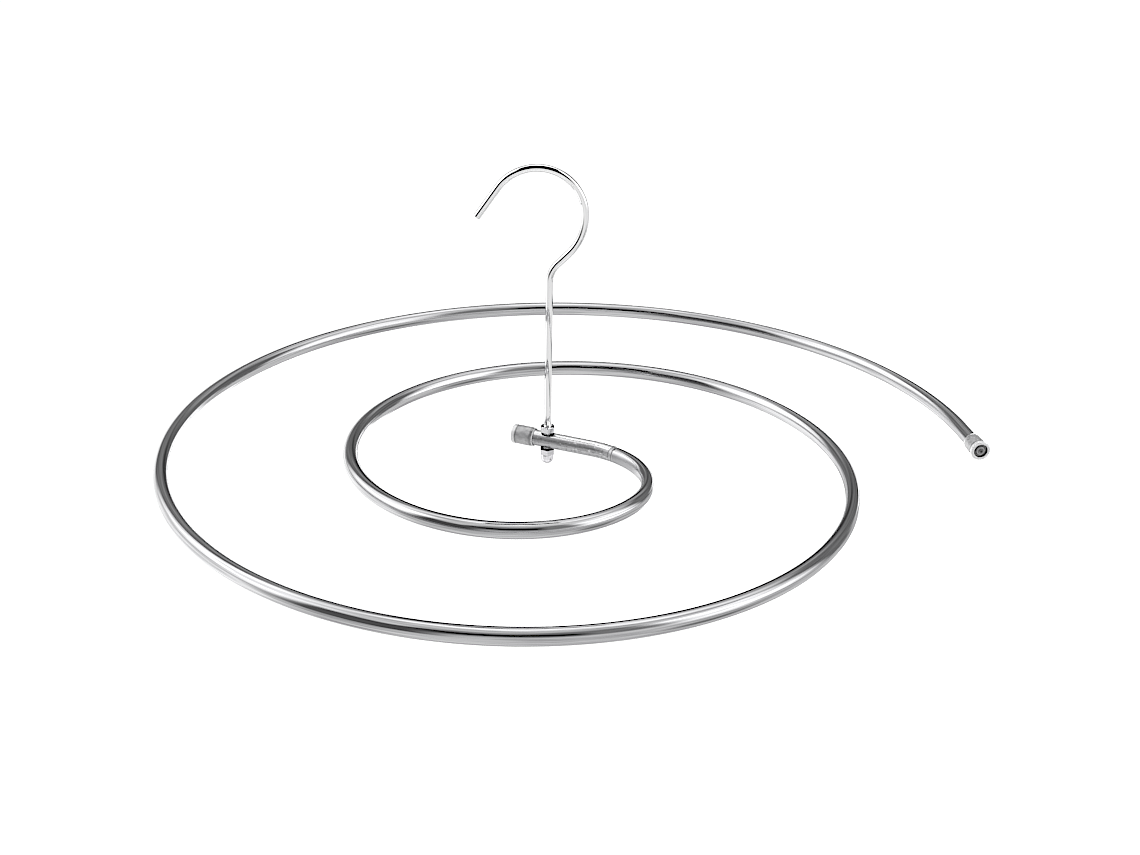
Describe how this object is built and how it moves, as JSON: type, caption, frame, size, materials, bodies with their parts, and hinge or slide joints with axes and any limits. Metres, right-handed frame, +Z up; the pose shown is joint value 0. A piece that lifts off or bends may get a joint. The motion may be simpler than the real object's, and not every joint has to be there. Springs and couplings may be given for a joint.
{
  "type": "spiral sheet hanger",
  "caption": "Flat spiral of bent steel tube that swivels level under a wire hook, for drying a sheet or large towel coiled round it.",
  "frame": {"origin": "underside of the hook's crown, where the hanger hangs on a rail", "axes": "+Z up along the hook's stem, +X to the right with the hook lying in the XZ plane and its tip towards -X, +Y away from the front; the spiral lies level in a plane below the origin"},
  "size_m": [0.4918, 0.4662, 0.1823],
  "materials": {
    "hook_wire": "bright drawn wire",
    "upper_nut": "bright plated",
    "cap_nut": "bright plated",
    "hub_tube": "dull, streaked along the tube",
    "joint_plug": "turned, dull",
    "spiral_tube": "polished, with fine draw lines along the tube",
    "end_caps": "translucent grey, satin"
  },
  "bodies": {
    "hook": {"hook_wire": "hook_wire", "upper_nut": "upper_nut", "cap_nut": "cap_nut"},
    "spiral": {"hub_tube": "hub_tube", "joint_plug": "joint_plug", "spiral_tube": "spiral_tube", "inner_end_cap": "end_caps", "outer_end_cap": "end_caps"}
  },
  "joints": [
    {"name": "swivel", "type": "hinge", "parent": "hook", "child": "spiral", "pos_m": [0.00724, 0, -0.16303], "axis": [0, 0, 1], "continuous": true}
  ]
}
